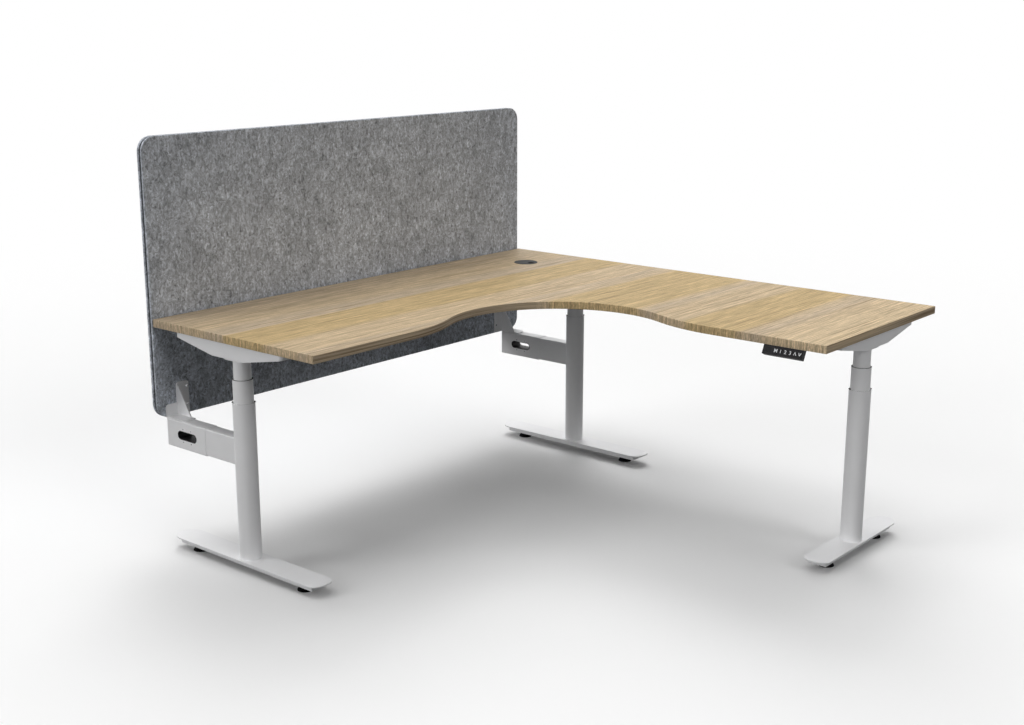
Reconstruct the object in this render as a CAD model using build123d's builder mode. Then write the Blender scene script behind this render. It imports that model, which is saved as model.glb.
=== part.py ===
from build123d import *
import math
import os
from collections import namedtuple

# Corner workstation with a height-adjustable top and a felt screen behind it.
# Every size is in millimetres. The floor is Z = 0 and the origin is the middle of the footprint.

os.makedirs("parts", exist_ok=True)

# Worktop
desk_length = 1800.0
desk_reach = 1800.0
wing_depth = 750.0
waist_cut = 80.0
bay_radius = 358.0
shoulder_radius = 550.0
top_thickness = 25.0
top_height = 760.0

# Cable grommet in the worktop
grommet_inset = 235.0
grommet_hole = 80.0
grommet_flange = 90.0
grommet_rise = 2.0
grommet_wall = 2.0
grommet_ledge = 4.0
grommet_fit = 0.2
cap_thickness = 3.0
cap_clearance = 0.3
notch_width = 24.0
notch_length = 26.0
notch_turn = -90.0

# Felt screen
screen_gap = 5.0
screen_bottom = 428.0
screen_top = 1331.0
felt_thickness = 8.5
core_thickness = 8.0
core_recess = 4.0
screen_radius = 48.0
felt_edge_radius = 2.0

# Places of the three legs, measured in from the edges of the two wings
left_inset = 50.0
corner_inset = 92.0
front_inset = 62.0
leg_from_front = 380.0
right_leg_from_inner = 362.0

# Feet
foot_height = 40.0
long_foot = 700.0
short_foot = 520.0
foot_width = 90.0
foot_plate = 4.0
tip_run = 30.0
tip_rise = 3.0
tip_radius = 44.0
channel_width = 60.0
channel_depth = 17.0
channel_wall = 3.0
channel_inset = 36.0

# Levelling feet
glide_inset = 97.0
pad_diameter = 50.0
pad_top_diameter = 40.0
pad_height = 11.0
pad_bead = 1.5
stud_diameter = 10.0
stud_length = 21.0
stud_fit = 0.05
boss_diameter = 20.0

# Foot bolts
bolt_circle = 44.0
bolt_count = 4
first_turn = 45.0
bolt_diameter = 8.0
bolt_clearance = 0.2
bolt_head_diameter = 13.0
bolt_head_height = 5.0
base_plate = 6.0

# Telescopic columns
outer_diameter = 70.0
outer_wall = 2.0
middle_diameter = 63.0
middle_wall = 1.8
middle_bottom = 110.0
middle_shown = 74.0
bridge_thickness = 8.0
inner_diameter = 55.0
inner_wall = 2.0
inner_bottom = 200.0
inner_shown = 61.0
glide_gap = 0.3
glide_fit = 0.1
rim_ring_height = 40.0
rim_tab_height = 2.2
rim_tab_reach = 1.2
rim_tab_angle = 16.0
rim_tab_count = 2
rim_tab_turn = 135.0
nut_ring_height = 36.0
nut_floor = 5.0
nut_plug_height = 16.0

# Lifting screws inside each column
stand_screw_diameter = 10.0
stand_screw_below_rim = 155.0
stand_collar_diameter = 18.0
stand_collar_height = 4.0
hollow_screw_diameter = 24.0
hollow_screw_bore = 16.6
hollow_screw_bottom = 104.0
hollow_screw_below_rim = 65.0
hollow_nut_height = 20.0
hollow_collar_diameter = 34.0
hollow_collar_height = 5.0
journal_diameter = 20.0
drive_tube_diameter = 16.0
drive_tube_bore = 10.6
drive_tube_bottom = 185.0
drive_tube_entry = 12.0
screw_fit = 0.05
screw_clearance = 0.3

# Brackets under the worktop, one on each leg
bracket_setback = 125.0
bracket_offset = 20.0
bracket_width = 80.0
bracket_depth = 50.0
bracket_flat = 147.0
bracket_end_depth = 17.0
bracket_wall = 3.0
bracket_end_pad = 46.0
bracket_corner = 12.0
bracket_bend_fillet = 60.0
head_plate_length = 88.0
head_plate_width = 70.0
head_plate_thickness = 5.0
head_plate_corner = 8.0
head_hole = 18.0

# Wood screws that hold the worktop
wood_screw_diameter = 5.0
wood_screw_bite = 14.0
wood_screw_seat = 8.0
wood_screw_head = 10.0
wood_screw_head_height = 3.0
wood_screw_clearance = 0.2
wood_screw_inset = 23.0
wood_screw_spread = 40.0
pilot_fit = 0.05

# Drive units in the brackets
gearbox_length = 60.0
gearbox_width = 58.0
gearbox_gap = 2.0
gearbox_corner = 6.0
motor_diameter = 34.0
motor_length = 92.0
motor_drop = 19.0
motor_boss = 24.0
motor_boss_length = 6.0

# Rails and control box under the worktop
rail_width = 60.0
rail_height = 40.0
rail_wall = 2.0
control_length = 290.0
control_width = 100.0
control_height = 34.0
control_corner = 8.0
control_gap = 100.0
control_inset = 520.0
control_rib_width = 4.0
control_rib_pitch = 12.0
control_rib_depth = 1.5
control_rib_count = 9

# Handset under the inner edge of the return wing
handset_length = 134.0
handset_from_end = 74.0
handset_drop = 26.0
handset_tilt = 13.0
handset_base = 16.0
handset_base_drop = 8.0
handset_corner = 2.0
key_pitch = 16.0
key_width = 13.0
key_height = 18.0
key_depth = 4.0
key_gap = 0.3
key_travel = 0.8
key_stand = 0.3
key_corner = 1.5
key_row_inset = 45.0
window_length = 22.0
window_height = 18.0
window_depth = 0.6
window_inset = 19.0

# Arms from the columns to the screen
arm_height = 384.0
left_arm_shift = 6.0
corner_arm_shift = 12.0
beam_width = 47.0
beam_height = 88.0
beam_wall = 2.5
beam_corner = 4.0
beam_start = 12.0
beam_end_gap = 14.0
sleeve_clearance = 0.3
sleeve_wall = 1.2
sleeve_top_wall = 1.2
sleeve_floor = 2.2
sleeve_length = 194.0
sleeve_cap = 2.0
sleeve_corner = 5.0
port_inset = 101.0
port_length = 96.0
port_height = 29.0
port_wall = 2.0
port_fit = 0.1
port_lip = 0.4
liner_flange_height = 50.0
liner_flange_thickness = 3.0
liner_flange_corner = 6.0
notch_clearance = 1.0
port_screw_spacing = 40.0
port_screw_rise = 42.0
port_screw_diameter = 3.0
port_screw_head = 4.6
port_screw_head_height = 0.8

# Screen brackets on the arms
screen_plate = 4.0
screen_foot_length = 86.0
screen_foot_radius = 24.0
screen_web_inset = 44.0
screen_web_thickness = 4.0
screen_web_top = 12.0
screen_web_setback = 20.0
screen_flange_reach = 48.0
screen_bracket_height = 108.0
screen_block_height = 41.0
screen_bracket_corner = 10.0
screen_screw_diameter = 4.0
screen_screw_head = 7.0
screen_screw_head_height = 1.6
screen_screw_length = 14.0
screen_screw_inset = 9.0
screen_screw_drop = 16.0
screen_screw_pitch = 62.0
screw_slack = 0.1

# Overrun for every cut
cut = 5.0

# Places worked out from the sizes above
screen_thickness = 2 * felt_thickness + core_thickness
overall_depth = desk_reach + screen_gap + screen_thickness
left_x = -desk_length / 2
right_x = desk_length / 2
back_y = overall_depth / 2 - screen_gap - screen_thickness
front_y = back_y - desk_reach
screen_face_y = back_y + screen_gap
underside = top_height - top_thickness
bracket_bottom = underside - bracket_depth
inner_top = bracket_bottom - head_plate_thickness
middle_top = inner_top - inner_shown
outer_top = middle_top - middle_shown
stand_screw_top = outer_top - stand_screw_below_rim
hollow_screw_top = outer_top - hollow_screw_below_rim
bracket_length = wing_depth - 2 * bracket_setback
plate_bottom = foot_height - foot_plate
channel_bottom = plate_bottom - channel_depth
outer_bore = outer_diameter - 2 * outer_wall
middle_bore = middle_diameter - 2 * middle_wall
inner_bore = inner_diameter - 2 * inner_wall
beam_outside = beam_width + 2 * (sleeve_clearance + sleeve_wall)
sleeve_height = beam_height + 2 * sleeve_clearance + sleeve_top_wall + sleeve_floor
sleeve_top = arm_height + sleeve_height / 2
beam_middle = arm_height + (sleeve_floor - sleeve_top_wall) / 2
port_y = back_y - port_inset
across = (1, 0, 0)
along = (0, 1, 0)
upward = (0, 0, 1)

Leg = namedtuple("Leg", "name x y along foot_length")
wing_leg_y = back_y - wing_depth + leg_from_front
right_leg_x = right_x - wing_depth + right_leg_from_inner
left_leg = Leg("left", left_x + left_inset, wing_leg_y, along, long_foot)
corner_leg = Leg("corner", right_x - corner_inset, wing_leg_y, along, long_foot)
right_leg = Leg("right", right_leg_x, front_y + front_inset, across, short_foot)
legs = (left_leg, corner_leg, right_leg)
arm_legs = (left_leg, corner_leg)
key_names = ("key_memory", "key_one", "key_two", "key_three", "key_up", "key_down")


def save(part, label):
    """Label a finished piece and write it under the same name."""
    part.label = label
    export_step(part, f"parts/{label}.step")


def level(leg, height):
    """Horizontal plane on a leg's axis, with its X along the foot."""
    return Plane(origin=(leg.x, leg.y, height), x_dir=leg.along, z_dir=upward)


def side(leg, height):
    """Upright plane on a leg's axis, with its X along the foot and its Y upward."""
    return Plane(origin=(leg.x, leg.y, height), x_dir=leg.along, z_dir=(leg.along[1], -leg.along[0], 0))


def half_section(leg, height=0.0):
    """Upright plane for a profile that is revolved about a leg's axis."""
    return Plane(origin=(leg.x, leg.y, height), x_dir=across, z_dir=(0, -1, 0))


def leg_axis(leg):
    return Axis((leg.x, leg.y, 0), upward)


def disc(plane, diameter, height, mode=Mode.ADD):
    """Add or cut a plain cylinder that stands on a plane."""
    with Locations(plane):
        Cylinder(diameter / 2, height, align=(Align.CENTER, Align.CENTER, Align.MIN), mode=mode)


def worktop_outline():
    """L-shaped outline with a swept user bay, drawn from the corner of the room outward."""
    bay = wing_depth - waist_cut + bay_radius
    joined = bay_radius + shoulder_radius
    shoulder_drop = joined - waist_cut
    shoulder_offset = math.sqrt(joined**2 - shoulder_drop**2)
    turn = math.atan2(shoulder_offset, shoulder_drop)
    start = bay + shoulder_offset
    meet = (start - shoulder_radius * math.sin(turn), wing_depth - shoulder_radius * (1 - math.cos(turn)))
    half_turn = turn / 2
    swell = (
        start - shoulder_radius * math.sin(half_turn),
        wing_depth - shoulder_radius * (1 - math.cos(half_turn)),
    )
    waist = bay - bay_radius * math.cos(math.pi / 4)
    Polyline((0, 0), (desk_length, 0), (desk_length, wing_depth), (start, wing_depth))
    ThreePointArc((start, wing_depth), swell, meet)
    ThreePointArc(meet, (waist, waist), (meet[1], meet[0]))
    ThreePointArc((meet[1], meet[0]), (swell[1], swell[0]), (wing_depth, start))
    Polyline((wing_depth, start), (wing_depth, desk_reach), (0, desk_reach), (0, 0))


def room_corner(height):
    """Plane at the back right corner of the worktop, X toward the left end and Y toward the front."""
    return Plane(origin=(right_x, back_y, height), x_dir=(-1, 0, 0), z_dir=upward)


def bracket_screw_places():
    """Places of the wood screws in one bracket, along and across its foot."""
    reach = bracket_length / 2 - wood_screw_inset
    spread = wood_screw_spread / 2
    return [(bracket_offset + x, y) for x in (-reach, reach) for y in (-spread, spread)]


def make_worktop():
    with BuildPart() as worktop:
        with BuildSketch(room_corner(underside)):
            with BuildLine():
                worktop_outline()
            make_face()
        extrude(amount=top_thickness)
        disc(grommet_plane(underside - cut), grommet_hole, top_thickness + 2 * cut, Mode.SUBTRACT)
        for leg in legs:
            with BuildSketch(level(leg, underside)):
                with Locations(*bracket_screw_places()):
                    Circle(wood_screw_diameter / 2 + pilot_fit)
            extrude(amount=wood_screw_bite, mode=Mode.SUBTRACT)
    save(worktop.part, "worktop")


def grommet_plane(height):
    """Plane on the grommet's axis, with its X toward the notch."""
    notch_dir = (math.cos(math.radians(notch_turn)), math.sin(math.radians(notch_turn)), 0)
    centre = (right_x - grommet_inset, back_y - grommet_inset, height)
    return Plane(origin=centre, x_dir=notch_dir, z_dir=upward)


def make_grommet():
    rim = top_height + grommet_rise
    tube = grommet_hole - 2 * grommet_fit
    bore = tube - 2 * grommet_wall
    ledge_top = rim - cap_thickness - cap_clearance
    with BuildPart() as liner:
        disc(grommet_plane(top_height), grommet_flange, grommet_rise)
        disc(grommet_plane(underside), tube, top_thickness)
        disc(grommet_plane(ledge_top), bore, rim, Mode.SUBTRACT)
        disc(grommet_plane(underside - cut), bore - 2 * grommet_ledge, rim, Mode.SUBTRACT)
        chamfer(liner.edges().group_by(Axis.Z)[-1].sort_by(SortBy.RADIUS)[-1], grommet_rise / 2)
    save(liner.part, "grommet_liner")
    cap_radius = bore / 2 - cap_clearance
    with BuildPart() as cap:
        disc(grommet_plane(rim - cap_thickness), 2 * cap_radius, cap_thickness)
        with BuildSketch(grommet_plane(rim - cap_thickness - cut)):
            with Locations((cap_radius, 0)):
                SlotOverall(2 * notch_length, notch_width)
        extrude(amount=cap_thickness + 2 * cut, mode=Mode.SUBTRACT)
    save(cap.part, "grommet_cap")


def panel(name, from_y, thickness, inset, edge_radius):
    """One upright sheet of the screen with rounded corners."""
    width = desk_length - 2 * inset
    height = screen_top - screen_bottom - 2 * inset
    middle = (screen_top + screen_bottom) / 2
    with BuildPart() as sheet:
        with BuildSketch(Plane(origin=(0, from_y, middle), x_dir=(-1, 0, 0), z_dir=along)):
            RectangleRounded(width, height, screen_radius - inset)
        extrude(amount=thickness)
        if edge_radius:
            fillet(sheet.edges().filter_by(Plane.XZ), edge_radius)
        screw_end = screen_face_y + screen_screw_length - screen_plate
        hole_depth = min(from_y + thickness, screw_end) - from_y
        if hole_depth > 0:
            with BuildSketch(Plane(origin=(0, from_y, 0), x_dir=(-1, 0, 0), z_dir=along)):
                with Locations(*[(-x, z) for x, z in screen_screw_places()]):
                    Circle(screen_screw_diameter / 2 + screw_slack)
            extrude(amount=hole_depth, mode=Mode.SUBTRACT)
    save(sheet.part, name)


def arm_x(leg):
    """X of an arm's middle line, a little to one side of its column."""
    return leg.x + (left_arm_shift if leg.x < 0 else corner_arm_shift)


def screen_screw_places():
    """X and Z of the screws that hold the screen to its brackets."""
    places = []
    for leg in arm_legs:
        reach = screen_web_inset + screen_flange_reach - screen_screw_inset - beam_outside / 2
        x = arm_x(leg) - math.copysign(reach, leg.x)
        top = sleeve_top + screen_bracket_height - screen_screw_drop
        places.append((x, top))
        places.append((x, top - screen_screw_pitch))
    return places


def make_screen():
    core_y = screen_face_y + felt_thickness
    rear_y = core_y + core_thickness
    panel("screen_front_felt", screen_face_y, felt_thickness, 0, felt_edge_radius)
    panel("screen_core", core_y, core_thickness, core_recess, 0)
    panel("screen_rear_felt", rear_y, felt_thickness, 0, felt_edge_radius)


def glide_places(leg):
    reach = leg.foot_length / 2 - glide_inset
    return ((-reach, 0), (reach, 0))


def make_foot(leg):
    """Top plate with slightly upturned rounded tips, welded to a channel that is open below."""
    flat = leg.foot_length / 2 - tip_run
    bend = (tip_run**2 + tip_rise**2) / (2 * tip_rise)
    turn = math.degrees(math.atan2(tip_run, bend - tip_rise))
    channel_length = leg.foot_length - 2 * channel_inset
    with BuildPart() as foot:
        with BuildSketch(side(leg, plate_bottom)):
            with BuildLine():
                Line((0, 0), (flat, 0))
                lower = CenterArc((flat, bend), bend, -90, turn)
                upper = CenterArc((flat, bend), bend - foot_plate, -90, turn)
                Line(lower @ 1, upper @ 1)
                Line((flat, foot_plate), (0, foot_plate))
                mirror(about=Plane.YZ)
            make_face()
        extrude(amount=foot_width / 2, both=True)
        with BuildSketch(level(leg, 0)):
            RectangleRounded(leg.foot_length, foot_width, tip_radius)
        extrude(amount=foot_height + 2 * tip_rise, mode=Mode.INTERSECT)
        with BuildSketch(side(leg, plate_bottom)):
            Rectangle(channel_length, channel_depth, align=(Align.CENTER, Align.MAX))
        extrude(amount=channel_width / 2, both=True)
        with BuildSketch(side(leg, plate_bottom - channel_wall)):
            Rectangle(channel_length - 2 * channel_wall, channel_depth, align=(Align.CENTER, Align.MAX))
        extrude(amount=channel_width / 2 - channel_wall, both=True, mode=Mode.SUBTRACT)
        with BuildSketch(level(leg, channel_bottom)):
            with Locations(*glide_places(leg)):
                Circle(boss_diameter / 2)
        extrude(amount=channel_depth)
        with BuildSketch(level(leg, channel_bottom)):
            with Locations(*glide_places(leg)):
                Circle(stud_diameter / 2 + stud_fit)
        extrude(amount=channel_depth, mode=Mode.SUBTRACT)
        with BuildSketch(level(leg, plate_bottom - channel_wall)):
            with PolarLocations(bolt_circle / 2, bolt_count, start_angle=first_turn):
                Circle(bolt_diameter / 2 + bolt_clearance)
        extrude(amount=foot_plate + channel_wall, mode=Mode.SUBTRACT)
    save(foot.part, f"foot_{leg.name}")


def make_levellers(leg):
    """Screw-in pads under both ends of a foot."""
    ends = ("front", "rear") if leg.along == along else ("inner", "outer")
    for end, place in zip(ends, glide_places(leg)):
        with BuildPart() as leveller:
            with BuildSketch(side(leg, 0)):
                with BuildLine():
                    Polyline(
                        (0, 0),
                        (pad_diameter / 2, 0),
                        (pad_diameter / 2, pad_bead),
                        (pad_top_diameter / 2, pad_height),
                        (stud_diameter / 2, pad_height),
                        (stud_diameter / 2, pad_height + stud_length),
                        (0, pad_height + stud_length),
                        close=True,
                    )
                make_face()
            revolve(axis=Axis(side(leg, 0).origin, upward))
        centre = level(leg, 0).from_local_coords(Vector(*place))
        shift = centre - level(leg, 0).origin
        save(leveller.part.moved(Location(shift)), f"leveller_{leg.name}_{end}")


def make_outer_tube(leg):
    """Lowest and widest stage of a column, closed below by the plate that its bolts screw into."""
    with BuildPart() as tube:
        disc(level(leg, foot_height), outer_diameter, outer_top - foot_height)
        disc(level(leg, foot_height + base_plate), outer_bore, outer_top, Mode.SUBTRACT)
        disc(level(leg, foot_height), stand_screw_diameter + 2 * screw_fit, base_plate, Mode.SUBTRACT)
        with BuildSketch(level(leg, foot_height)):
            with PolarLocations(bolt_circle / 2, bolt_count, start_angle=first_turn):
                Circle(bolt_diameter / 2 + bolt_clearance)
        extrude(amount=base_plate, mode=Mode.SUBTRACT)
    save(tube.part, f"outer_tube_{leg.name}")


def make_foot_bolts():
    """Hexagon bolts from below the feet into the bottom plates of the columns."""
    head_top = plate_bottom - channel_wall
    with BuildPart() as bolts:
        for leg in legs:
            with BuildSketch(level(leg, head_top)):
                with PolarLocations(bolt_circle / 2, bolt_count, start_angle=first_turn):
                    RegularPolygon(bolt_head_diameter / 2, 6)
            extrude(amount=-bolt_head_height)
            with BuildSketch(level(leg, head_top)):
                with PolarLocations(bolt_circle / 2, bolt_count, start_angle=first_turn):
                    Circle(bolt_diameter / 2)
            extrude(amount=channel_wall + foot_plate + base_plate)
    save(bolts.part, "foot_bolts")


def make_rim_glides():
    """Plastic guide rings in the mouths of the outer tubes, with tabs that hook over the rim."""
    ring_inner = middle_diameter + 2 * glide_gap
    with BuildPart() as rings:
        for leg in legs:
            with BuildSketch(level(leg, outer_top - rim_ring_height)):
                Circle(outer_bore / 2 - glide_fit)
                Circle(ring_inner / 2, mode=Mode.SUBTRACT)
            extrude(amount=rim_ring_height)
            with BuildSketch(Plane(origin=(leg.x, leg.y, outer_top), x_dir=across, z_dir=upward)):
                with PolarLocations(0, rim_tab_count, start_angle=rim_tab_turn):
                    Polygon(*tab_points(), align=None)
                Circle(ring_inner / 2, mode=Mode.SUBTRACT)
            extrude(amount=rim_tab_height)
    save(rings.part, "outer_glides")


def tab_points():
    """Wedge outline of one rim tab, from the column's axis outward."""
    reach = outer_diameter / 2 + rim_tab_reach
    half = math.radians(rim_tab_angle / 2)
    return ((0, 0), (reach, -reach * math.tan(half)), (reach, reach * math.tan(half)))


def make_middle_tube(leg):
    """Middle stage, closed below by the bridge that carries the hollow screw."""
    with BuildPart() as tube:
        disc(level(leg, middle_bottom), middle_diameter, middle_top - middle_bottom)
        disc(level(leg, middle_bottom + bridge_thickness), middle_bore, middle_top, Mode.SUBTRACT)
        disc(level(leg, middle_bottom), journal_diameter + 2 * screw_fit, bridge_thickness, Mode.SUBTRACT)
    save(tube.part, f"middle_tube_{leg.name}")


def make_inner_tube(leg):
    """Upper and slimmest stage, welded to the head plate."""
    with BuildPart() as tube:
        with BuildSketch(level(leg, inner_bottom)):
            Circle(inner_diameter / 2)
            Circle(inner_bore / 2, mode=Mode.SUBTRACT)
        extrude(amount=inner_top - inner_bottom)
    save(tube.part, f"inner_tube_{leg.name}")


def make_nut_glides():
    """Slide nuts on the lower ends of the inner tubes: guide ring outside, nut inside."""
    nut = hollow_screw_diameter / 2 + screw_fit
    ring = middle_bore / 2 - glide_gap
    with BuildPart() as glides:
        for leg in legs:
            with BuildSketch(half_section(leg, inner_bottom)):
                with BuildLine():
                    Polyline(
                        (nut, -nut_floor),
                        (ring, -nut_floor),
                        (ring, nut_ring_height),
                        (inner_diameter / 2, nut_ring_height),
                        (inner_diameter / 2, 0),
                        (inner_bore / 2, 0),
                        (inner_bore / 2, nut_plug_height),
                        (nut, nut_plug_height),
                        close=True,
                    )
                make_face()
            revolve(axis=leg_axis(leg))
    save(glides.part, "nut_glides")


def make_stand_screws():
    """Fixed screws that stand in the bottom plates of the outer tubes."""
    with BuildPart() as screws:
        for leg in legs:
            disc(level(leg, foot_height), stand_screw_diameter, stand_screw_top - foot_height)
            disc(level(leg, foot_height + base_plate), stand_collar_diameter, stand_collar_height)
    save(screws.part, "stand_screws")


def make_hollow_screw(leg):
    """Hollow screw that turns in the bridge of the middle stage, threaded inside and outside."""
    nut = stand_screw_diameter / 2 + screw_fit
    bridge_top = middle_bottom + bridge_thickness + screw_clearance
    collar_top = bridge_top + hollow_collar_height
    nut_top = hollow_screw_bottom + hollow_nut_height
    with BuildPart() as screw:
        with BuildSketch(half_section(leg)):
            with BuildLine():
                Polyline(
                    (nut, hollow_screw_bottom),
                    (journal_diameter / 2, hollow_screw_bottom),
                    (journal_diameter / 2, bridge_top),
                    (hollow_collar_diameter / 2, bridge_top),
                    (hollow_collar_diameter / 2, collar_top),
                    (hollow_screw_diameter / 2, collar_top),
                    (hollow_screw_diameter / 2, hollow_screw_top),
                    (hollow_screw_bore / 2, hollow_screw_top),
                    (hollow_screw_bore / 2, nut_top),
                    (nut, nut_top),
                    close=True,
                )
            make_face()
        revolve(axis=leg_axis(leg))
    save(screw.part, f"hollow_screw_{leg.name}")


def make_drive_tube(leg):
    """Splined tube that hangs from the gearbox and turns the hollow screw from inside."""
    top = bracket_bottom + bracket_wall + drive_tube_entry
    with BuildPart() as tube:
        with BuildSketch(level(leg, drive_tube_bottom)):
            Circle(drive_tube_diameter / 2)
            Circle(drive_tube_bore / 2, mode=Mode.SUBTRACT)
        extrude(amount=top - drive_tube_bottom)
    save(tube.part, f"drive_tube_{leg.name}")


def bracket_profile(length, flat, depth, end_depth):
    """Boat-shaped side profile that hangs below the worktop."""
    return (
        (bracket_offset - length / 2, 0),
        (bracket_offset - length / 2, -end_depth),
        (bracket_offset - flat / 2, -depth),
        (bracket_offset + flat / 2, -depth),
        (bracket_offset + length / 2, -end_depth),
        (bracket_offset + length / 2, 0),
    )


def make_side_bracket(leg):
    """Pressed bracket between column and worktop, open above, with solid ends and a head plate."""
    slope = (bracket_depth - bracket_end_depth) / ((bracket_length - bracket_flat) / 2)
    pocket = bracket_length - 2 * bracket_end_pad
    pocket_end = bracket_end_depth + slope * bracket_end_pad - bracket_wall
    with BuildPart() as bracket:
        with BuildSketch(side(leg, underside)) as profile:
            Polygon(
                *bracket_profile(bracket_length, bracket_flat, bracket_depth, bracket_end_depth), align=None
            )
            fillet(profile.vertices().group_by(Axis.Y)[0], bracket_bend_fillet)
        extrude(amount=bracket_width / 2, both=True)
        with BuildSketch(level(leg, bracket_bottom)):
            with Locations((bracket_offset, 0)):
                RectangleRounded(bracket_length, bracket_width, bracket_corner)
        extrude(amount=bracket_depth, mode=Mode.INTERSECT)
        with BuildSketch(side(leg, underside)):
            Polygon(
                *bracket_profile(pocket, bracket_flat, bracket_depth - bracket_wall, pocket_end), align=None
            )
        extrude(amount=bracket_width / 2 - bracket_wall, both=True, mode=Mode.SUBTRACT)
        with BuildSketch(level(leg, inner_top)):
            RectangleRounded(head_plate_length, head_plate_width, head_plate_corner)
        extrude(amount=head_plate_thickness)
        disc(level(leg, inner_top - cut), head_hole, 2 * cut + head_plate_thickness, Mode.SUBTRACT)
        with BuildSketch(level(leg, bracket_bottom)):
            with Locations(*bracket_screw_places()):
                Circle(wood_screw_diameter / 2 + wood_screw_clearance)
        extrude(amount=bracket_depth, mode=Mode.SUBTRACT)
        with BuildSketch(level(leg, underside - wood_screw_seat)):
            with Locations(*bracket_screw_places()):
                Circle(wood_screw_head / 2 + wood_screw_clearance)
        extrude(amount=-bracket_depth, mode=Mode.SUBTRACT)
    save(bracket.part, f"side_bracket_{leg.name}")


def make_wood_screws():
    with BuildPart() as screws:
        for leg in legs:
            with BuildSketch(level(leg, underside - wood_screw_seat)):
                with Locations(*bracket_screw_places()):
                    Circle(wood_screw_head / 2)
            extrude(amount=-wood_screw_head_height)
            with BuildSketch(level(leg, underside - wood_screw_seat)):
                with Locations(*bracket_screw_places()):
                    Circle(wood_screw_diameter / 2)
            extrude(amount=wood_screw_seat + wood_screw_bite)
    save(screws.part, "worktop_screws")


def make_drive_unit(leg):
    """Gearbox over the column with its motor lying along the bracket."""
    floor = bracket_bottom + bracket_wall
    height = underside - gearbox_gap - floor
    motor_start = (leg.x, leg.y, underside - motor_drop)
    motor_plane = Plane(origin=motor_start, x_dir=(leg.along[1], -leg.along[0], 0), z_dir=leg.along)
    socket = drive_tube_diameter + 2 * screw_fit
    with BuildPart() as unit:
        with BuildSketch(level(leg, floor)):
            RectangleRounded(gearbox_length, gearbox_width, gearbox_corner)
        extrude(amount=height)
        with BuildSketch(motor_plane):
            Circle(motor_boss / 2)
        extrude(amount=gearbox_length / 2 + motor_boss_length)
        with BuildSketch(motor_plane.offset(gearbox_length / 2 + motor_boss_length)):
            Circle(motor_diameter / 2)
        extrude(amount=motor_length)
        disc(level(leg, floor), socket, drive_tube_entry + screw_clearance, Mode.SUBTRACT)
    save(unit.part, f"drive_unit_{leg.name}")


def make_rails():
    """Box rails that join the three brackets under the worktop."""
    middle_height = underside - rail_height / 2
    start = left_leg.x + bracket_width / 2
    length = corner_leg.x - bracket_width / 2 - start
    with BuildPart() as back_rail:
        with BuildSketch(Plane(origin=(start, left_leg.y, middle_height), x_dir=along, z_dir=across)):
            Rectangle(rail_width, rail_height)
            Rectangle(rail_width - 2 * rail_wall, rail_height - 2 * rail_wall, mode=Mode.SUBTRACT)
        extrude(amount=length)
    save(back_rail.part, "rail_back")
    near = right_leg.y + bracket_width / 2
    reach = left_leg.y - rail_width / 2 - near
    with BuildPart() as return_rail:
        with BuildSketch(Plane(origin=(right_leg.x, near, middle_height), x_dir=(-1, 0, 0), z_dir=along)):
            Rectangle(rail_width, rail_height)
            Rectangle(rail_width - 2 * rail_wall, rail_height - 2 * rail_wall, mode=Mode.SUBTRACT)
        extrude(amount=reach)
    save(return_rail.part, "rail_return")


def make_control_box():
    """Ribbed housing of the motor control, screwed flat under the worktop behind the back rail."""
    x = right_x - control_inset
    y = wing_leg_y + rail_width / 2 + control_gap + control_width / 2
    with BuildPart() as box:
        with BuildSketch(Plane.XY.offset(underside)):
            with Locations((x, y)):
                RectangleRounded(control_length, control_width, control_corner)
        extrude(amount=-control_height)
        with BuildSketch(Plane.XY.offset(underside - control_height)):
            with Locations((x, y)):
                with GridLocations(control_rib_pitch, 0, control_rib_count, 1):
                    Rectangle(control_rib_width, control_width - 2 * control_corner)
        extrude(amount=control_rib_depth, mode=Mode.SUBTRACT)
    save(box.part, "control_box")


def handset_face():
    """Plane on the handset's tilted face: X toward the front of the desk, Y up the face."""
    lean = math.atan2(handset_tilt, handset_drop)
    mid_x = right_x - wing_depth - handset_tilt / 2
    mid_y = front_y + handset_from_end + handset_length / 2
    normal = (-math.cos(lean), 0, math.sin(lean))
    return Plane(origin=(mid_x, mid_y, underside - handset_drop / 2), x_dir=(0, -1, 0), z_dir=normal)


def key_places():
    """Centres of the six keys along the face, from the memory key to the down key."""
    first = -handset_length / 2 + key_row_inset
    return [(first + number * key_pitch, 0) for number in range(len(key_names))]


def make_handset():
    """Leaning handset case with a pocket for each key and a shallow display window."""
    profile_origin = (right_x - wing_depth, front_y + handset_from_end, underside)
    profile_plane = Plane(origin=profile_origin, x_dir=across, z_dir=(0, -1, 0))
    base_x = handset_base - handset_tilt
    base_depth = handset_drop + handset_base_drop
    face = handset_face()
    with BuildPart() as case:
        with BuildSketch(profile_plane):
            Polygon(
                (0, 0),
                (-handset_tilt, -handset_drop),
                (base_x, -base_depth),
                (base_x + base_depth * handset_tilt / handset_drop, 0),
                align=None,
            )
        extrude(amount=-handset_length)
        fillet(case.edges().filter_by(Plane.XZ).filter_by(beside_face), handset_corner)
        with BuildSketch(face):
            with Locations(*key_places()):
                RectangleRounded(key_width, key_height, key_corner)
        extrude(amount=-(key_depth + key_travel + key_gap), mode=Mode.SUBTRACT)
        with BuildSketch(face):
            with Locations((-handset_length / 2 + window_inset, 0)):
                RectangleRounded(window_length, window_height, key_corner)
        extrude(amount=-window_depth, mode=Mode.SUBTRACT)
    save(case.part, "handset_case")
    for name, place in zip(key_names, key_places()):
        with BuildPart() as key:
            with BuildSketch(face.offset(key_stand)):
                with Locations(place):
                    RectangleRounded(key_width - 2 * key_gap, key_height - 2 * key_gap, key_corner - key_gap)
            extrude(amount=-key_depth)
        save(key.part, name)


def beside_face(edge):
    """True for the two upright side edges of the handset's face."""
    return edge.center().X < right_x - wing_depth - handset_tilt / 4


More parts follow.
